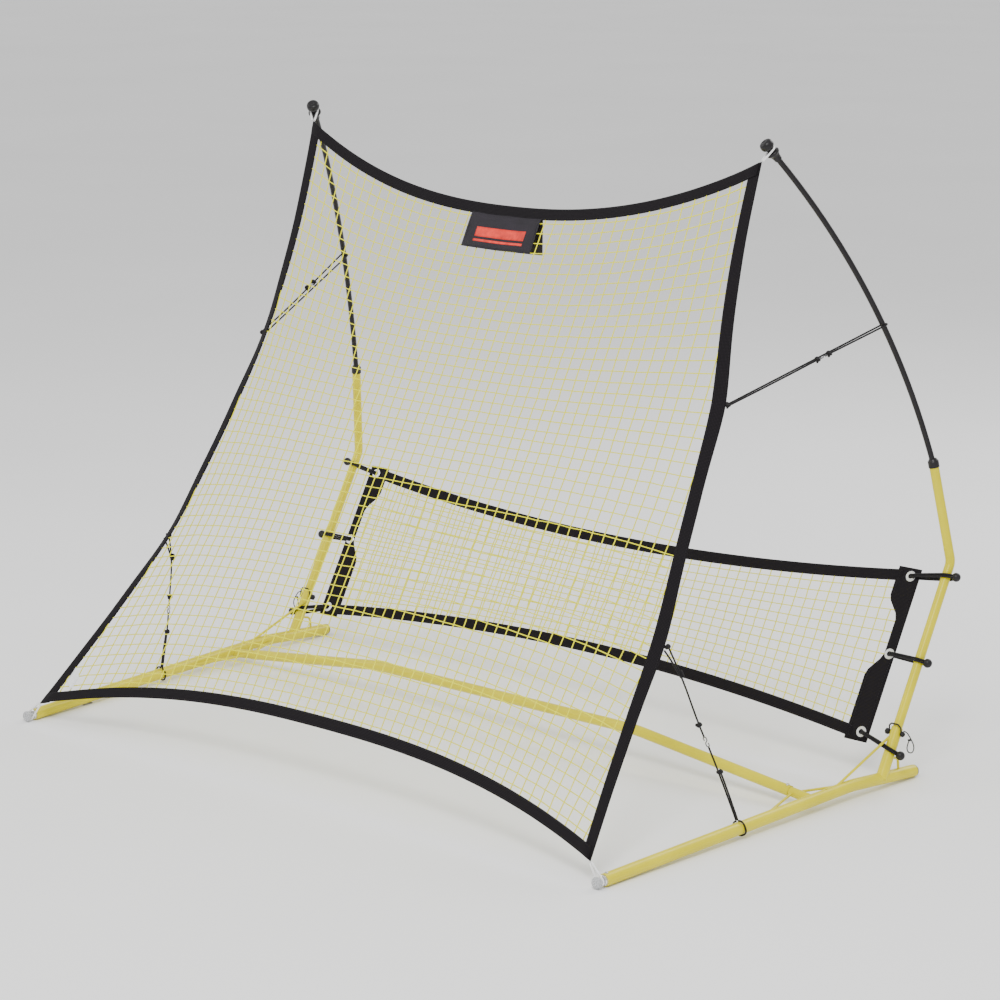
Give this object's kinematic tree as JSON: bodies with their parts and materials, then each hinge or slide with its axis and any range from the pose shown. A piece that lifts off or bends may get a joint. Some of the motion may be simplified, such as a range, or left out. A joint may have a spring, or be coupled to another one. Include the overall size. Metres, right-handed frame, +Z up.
{
  "type": "pitch back rebounder",
  "caption": "A free-standing ball rebounder: a large bowed net hung between two ground rails and two tall sprung rods, with a lower stop net behind it.",
  "frame": {"origin": "middle of the footprint on the floor, under the rails' rounded undersides", "axes": "+X is the right-hand side seen from the thrower, +Y points to the rear, +Z is up; the netted front faces -Y"},
  "size_m": [1.988, 1.21, 1.4541],
  "materials": {
    "yellow_paint": "glossy yellow powder coat over steel tube",
    "black_rod": "smooth black fibreglass rod",
    "black_plastic": "moulded black plastic",
    "black_webbing": "woven black polyester webbing",
    "yellow_netting": "twisted yellow nylon twine",
    "black_elastic": "braided black elastic cord",
    "lanyard_cord": "smooth black rubber cord",
    "white_cord": "braided white cord",
    "black_rubber": "soft black rubber",
    "bright_steel": "zinc plated steel",
    "chrome": "bright chrome",
    "clear_plastic": "cloudy translucent plastic",
    "label_cloth": "coated black cloth patch",
    "tag_film": "milky plastic film",
    "grey_plastic": "grey moulded plastic"
  },
  "bodies": {
    "frame": {"bungee_balls": "black_plastic", "bungee_cords_left": "black_elastic", "bungee_cords_right": "black_elastic", "button_springs": "bright_steel", "corner_cord_bottom_left": "white_cord", "corner_cord_bottom_right": "white_cord", "corner_cord_top_left": "white_cord", "corner_cord_top_right": "white_cord", "corner_tag": "tag_film", "crossbar": "yellow_paint", "crossbar_braces": "yellow_paint", "crossbar_stubs": "yellow_paint", "front_collars": "chrome", "front_knobs": "clear_plastic", "grommets": "bright_steel", "label_patch": "label_cloth", "lanyard_left": "lanyard_cord", "lanyard_right": "lanyard_cord", "lock_pin_strap_left": "black_rubber", "lock_pin_strap_right": "black_rubber", "lower_band_left": "black_webbing", "lower_band_right": "black_webbing", "lower_net": "yellow_netting", "lower_tie_net_left": "black_elastic", "lower_tie_net_right": "black_elastic", "lower_tie_rail_left": "black_elastic", "lower_tie_rail_right": "black_elastic", "lower_tie_strand_left": "black_elastic", "lower_tie_strand_right": "black_elastic", "lower_webbing_bottom": "black_webbing", "lower_webbing_top": "black_webbing", "main_net": "yellow_netting", "net_webbing_bottom": "black_webbing", "net_webbing_left": "black_webbing", "net_webbing_right": "black_webbing", "net_webbing_top": "black_webbing", "rail_clip": "grey_plastic", "rail_left": "yellow_paint", "rail_rear_caps": "black_plastic", "rail_right": "yellow_paint", "rail_rivets": "bright_steel", "rod_ferrules": "black_plastic", "rod_left": "black_rod", "rod_right": "black_rod", "tie_hooks": "bright_steel", "tip_knob_left": "black_plastic", "tip_knob_right": "black_plastic", "upper_tie_back_left": "black_elastic", "upper_tie_back_right": "black_elastic", "upper_tie_loop_left": "black_elastic", "upper_tie_loop_right": "black_elastic", "upright_braces": "yellow_paint", "upright_left": "yellow_paint", "upright_right": "yellow_paint", "upright_sockets": "yellow_paint"},
    "crossbar_button_left": {"crossbar_button_left": "bright_steel"},
    "crossbar_button_right": {"crossbar_button_right": "bright_steel"},
    "lock_pin_left": {"lock_pin_left": "black_rubber"},
    "lock_pin_right": {"lock_pin_right": "black_rubber"}
  },
  "joints": [
    {"name": "button_right_press", "type": "slide", "parent": "frame", "child": "crossbar_button_right", "axis": [-0.1191, 0, -0.9929], "range_m": [0, 0.0035], "stiffness_N_per_m": 1200, "springref_m": -0.002},
    {"name": "button_left_press", "type": "slide", "parent": "frame", "child": "crossbar_button_left", "axis": [0.1191, 0, -0.9929], "range_m": [0, 0.0035], "stiffness_N_per_m": 1200, "springref_m": -0.002},
    {"name": "lock_pin_right_pull", "type": "slide", "parent": "frame", "child": "lock_pin_right", "axis": [-1, 0, 0], "range_m": [0, 0.038]},
    {"name": "lock_pin_left_pull", "type": "slide", "parent": "frame", "child": "lock_pin_left", "axis": [1, 0, 0], "range_m": [0, 0.038]}
  ]
}
